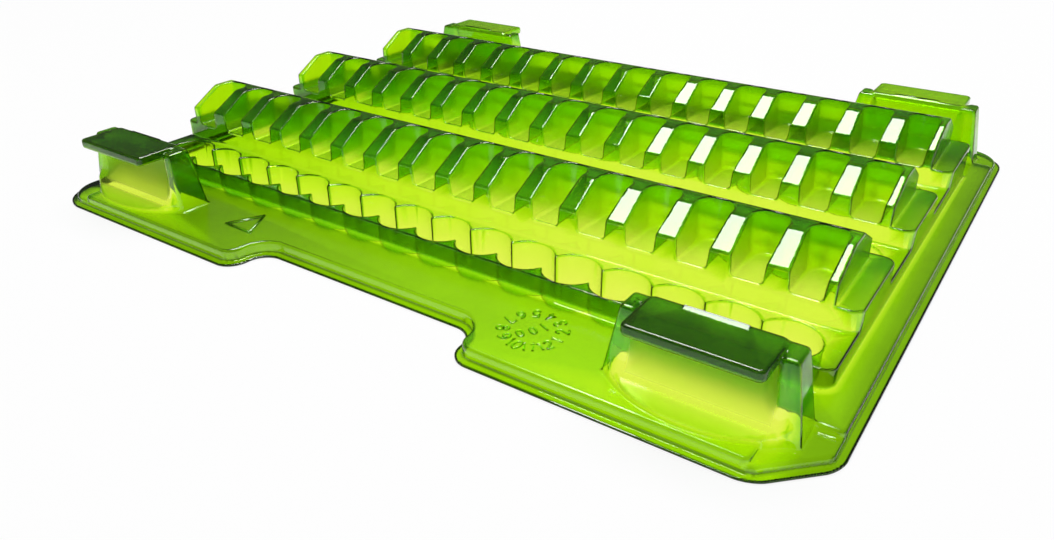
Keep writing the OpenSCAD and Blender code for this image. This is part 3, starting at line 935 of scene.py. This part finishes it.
def clear_sheet():
    """Dyed clear plastic: paler where it was drawn thin, darker where shade is painted into the tint, hazy
    where the tool was, with slow ripples.
    """
    mat = bpy.data.materials.new("clear_sheet")
    mat.use_nodes = True
    tree = mat.node_tree
    place = tree.nodes.new("ShaderNodeTexCoord").outputs["Object"]
    share = formed_share(tree, place)
    speck = spread(tree, noise(tree, place, SPECK_SCALE, FINE_DETAIL), SPECK_LEAST, SPECK_MOST)
    dull = calculated(tree, "MULTIPLY", attribute(tree, "haze"), HAZE_ROUGHNESS)
    grain = bumps(tree, noise(tree, place, GRAIN_SCALE, FINE_DETAIL), GRAIN_STRENGTH, GRAIN_DEPTH)
    ripple = bumps(tree, noise(tree, place, RIPPLE_SCALE, FINE_DETAIL), RIPPLE_STRENGTH, RIPPLE_DEPTH)
    fill(tree, ripple, {"Normal": grain.outputs["Normal"]})
    skin = fill(tree, tree.nodes["Principled BSDF"], {
        "Base Color": tint(tree, share, TINTS),
        "Roughness": calculated(tree, "ADD", dull, speck),
        "IOR": IOR,
        "Transmission Weight": 1.0,
        "Normal": ripple.outputs["Normal"],
    })
    one_face = tuple((at, tuple(FACE_PASS * math.sqrt(c) for c in colour)) for at, colour in TINTS)
    passed = add_node(tree, "ShaderNodeBsdfTransparent", {"Color": tint(tree, share, one_face)})
    path = tree.nodes.new("ShaderNodeLightPath").outputs
    lit = calculated(tree, "MAXIMUM", path["Is Shadow Ray"], path["Is Diffuse Ray"])
    dye = add_node(tree, "ShaderNodeVolumeAbsorption", {"Color": (*DYE, 1), "Density": DYE_DENSITY})
    fill(tree, tree.nodes["Material Output"], {
        "Surface": mixed(tree, lit, skin.outputs[0], passed.outputs[0]),
        "Volume": dye.outputs[0],
    })
    return mat


# Floor, in metres, its paint, and how much plain white it shows to the camera, to gloss and through glass
FLOOR_HALF = 6.0
FLOOR_Z = -0.0004
FLOOR_PAINT = (0.82, 0.82, 0.82)
FLOOR_ROUGHNESS = 0.9
FLOOR_SPECULAR = 0.1
FLOOR_SHOWS = (("Is Camera Ray", 0.85), ("Is Glossy Ray", 0.2), ("Is Transmission Ray", 0.95))
# Light from the world, and how much of its white shows in gloss
SKY_LIGHT = 0.03
SKY_GLOSS = 0.05


def pale_floor():
    """Paint for the floor, white where it is only looked at."""
    mat = bpy.data.materials.new("floor")
    mat.use_nodes = True
    tree = mat.node_tree
    paint = fill(tree, tree.nodes["Principled BSDF"], {
        "Base Color": (*FLOOR_PAINT, 1),
        "Roughness": FLOOR_ROUGHNESS,
        "Specular IOR Level": FLOOR_SPECULAR,
    })
    white = add_node(tree, "ShaderNodeEmission", {"Strength": 1.0})
    path = tree.nodes.new("ShaderNodeLightPath").outputs
    camera, gloss, through = (calculated(tree, "MULTIPLY", path[kind], part) for kind, part in FLOOR_SHOWS)
    seen = calculated(tree, "ADD", calculated(tree, "ADD", camera, gloss), through)
    shown = mixed(tree, seen, paint.outputs[0], white.outputs[0])
    fill(tree, tree.nodes["Material Output"], {"Surface": shown})
    return mat


def add_floor():
    """Plain floor under the tray."""
    signs = ((-1, -1), (1, -1), (1, 1), (-1, 1))
    mesh = bpy.data.meshes.new("floor")
    mesh.from_pydata([(sx * FLOOR_HALF, sy * FLOOR_HALF, FLOOR_Z) for sx, sy in signs], [], [(0, 1, 2, 3)])
    mesh.materials.append(pale_floor())
    return new_object("floor", mesh)


def white_world():
    """White background that gives little light."""
    world = bpy.data.worlds.new("world")
    bpy.context.scene.world = world
    world.use_nodes = True
    tree = world.node_tree
    path = tree.nodes.new("ShaderNodeLightPath").outputs
    seen = calculated(tree, "MAXIMUM", path["Is Camera Ray"], path["Is Transmission Ray"])
    mirrored = calculated(tree, "MULTIPLY", path["Is Glossy Ray"], SKY_GLOSS)
    seen = calculated(tree, "MAXIMUM", seen, mirrored)
    fill(tree, tree.nodes["Background"], {
        "Color": (1, 1, 1, 1),
        "Strength": spread(tree, seen, SKY_LIGHT, 1.0),
    })


# Camera, solved from the photograph's pocket grid
PHOTO_W = 1054
FOCAL_PX = 847.1
SENSOR_W = 36
CLIP_START = 0.01
CAM_PLACE = Vector((230.5, -355.1, 178.0)) * MM
CAM_TURN = math.radians(34.736)
CAM_TILT = math.radians(28.946)
CAM_ROLL = math.radians(-0.489)


def add_camera():
    """Camera at the photograph's place and angle."""
    level = math.cos(CAM_TILT)
    back = Vector((math.sin(CAM_TURN) * level, -math.cos(CAM_TURN) * level, math.sin(CAM_TILT)))
    flat = Vector((math.cos(CAM_TURN), math.sin(CAM_TURN), 0))
    up = back.cross(flat)
    right = math.cos(CAM_ROLL) * flat + math.sin(CAM_ROLL) * up
    rise = math.cos(CAM_ROLL) * up - math.sin(CAM_ROLL) * flat
    camera = bpy.data.cameras.new("camera")
    camera.sensor_width = SENSOR_W
    camera.lens = FOCAL_PX / PHOTO_W * SENSOR_W
    camera.clip_start = CLIP_START
    obj = new_object("camera", camera)
    turn = Matrix((right, rise, back)).transposed()
    obj.matrix_world = Matrix.Translation(CAM_PLACE) @ turn.to_4x4()
    bpy.context.scene.camera = obj


# Lamps, in metres and watts: the softbox mirrors in the ribs, and the ceiling lights the floor
SOFTBOX_PLACE = (-0.15, 0.14, 1.0)
SOFTBOX_SIZE = (0.53, 0.58)
SOFTBOX_POWER = 16
CEILING_PLACE = (0, 0.3, 2.5)
CEILING_SIZE = (3.0, 3.0)
CEILING_POWER = 105


def area_lamp(name, place, size, power):
    """Rectangular lamp that looks straight down."""
    lamp = bpy.data.lights.new(name, "AREA")
    lamp.shape = "RECTANGLE"
    lamp.size, lamp.size_y = size
    lamp.energy = power
    obj = new_object(name, lamp)
    obj.location = place
    return obj


plastic = clear_sheet()
sheet = formed_sheet()
sheet.data.materials.append(plastic)
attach(sheet, "root")
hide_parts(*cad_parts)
for mark in (arrow_mark(), date_dial()):
    mark.data.materials.append(plastic)
    layer = mark.data.attributes.new("thickness", "FLOAT", "POINT")
    layer.data.foreach_set("value", np.full(len(mark.data.vertices), MARK_SHARE))
    mark.data.shade_smooth()
    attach(mark, "root")

add_camera()
floor = add_floor()
white_world()
softbox = area_lamp("softbox", SOFTBOX_PLACE, SOFTBOX_SIZE, SOFTBOX_POWER)
softbox.visible_diffuse = False
ceiling = area_lamp("ceiling", CEILING_PLACE, CEILING_SIZE, CEILING_POWER)
ceiling.visible_glossy = False
ceiling.visible_transmission = False
bpy.context.scene.view_settings.view_transform = "Standard"
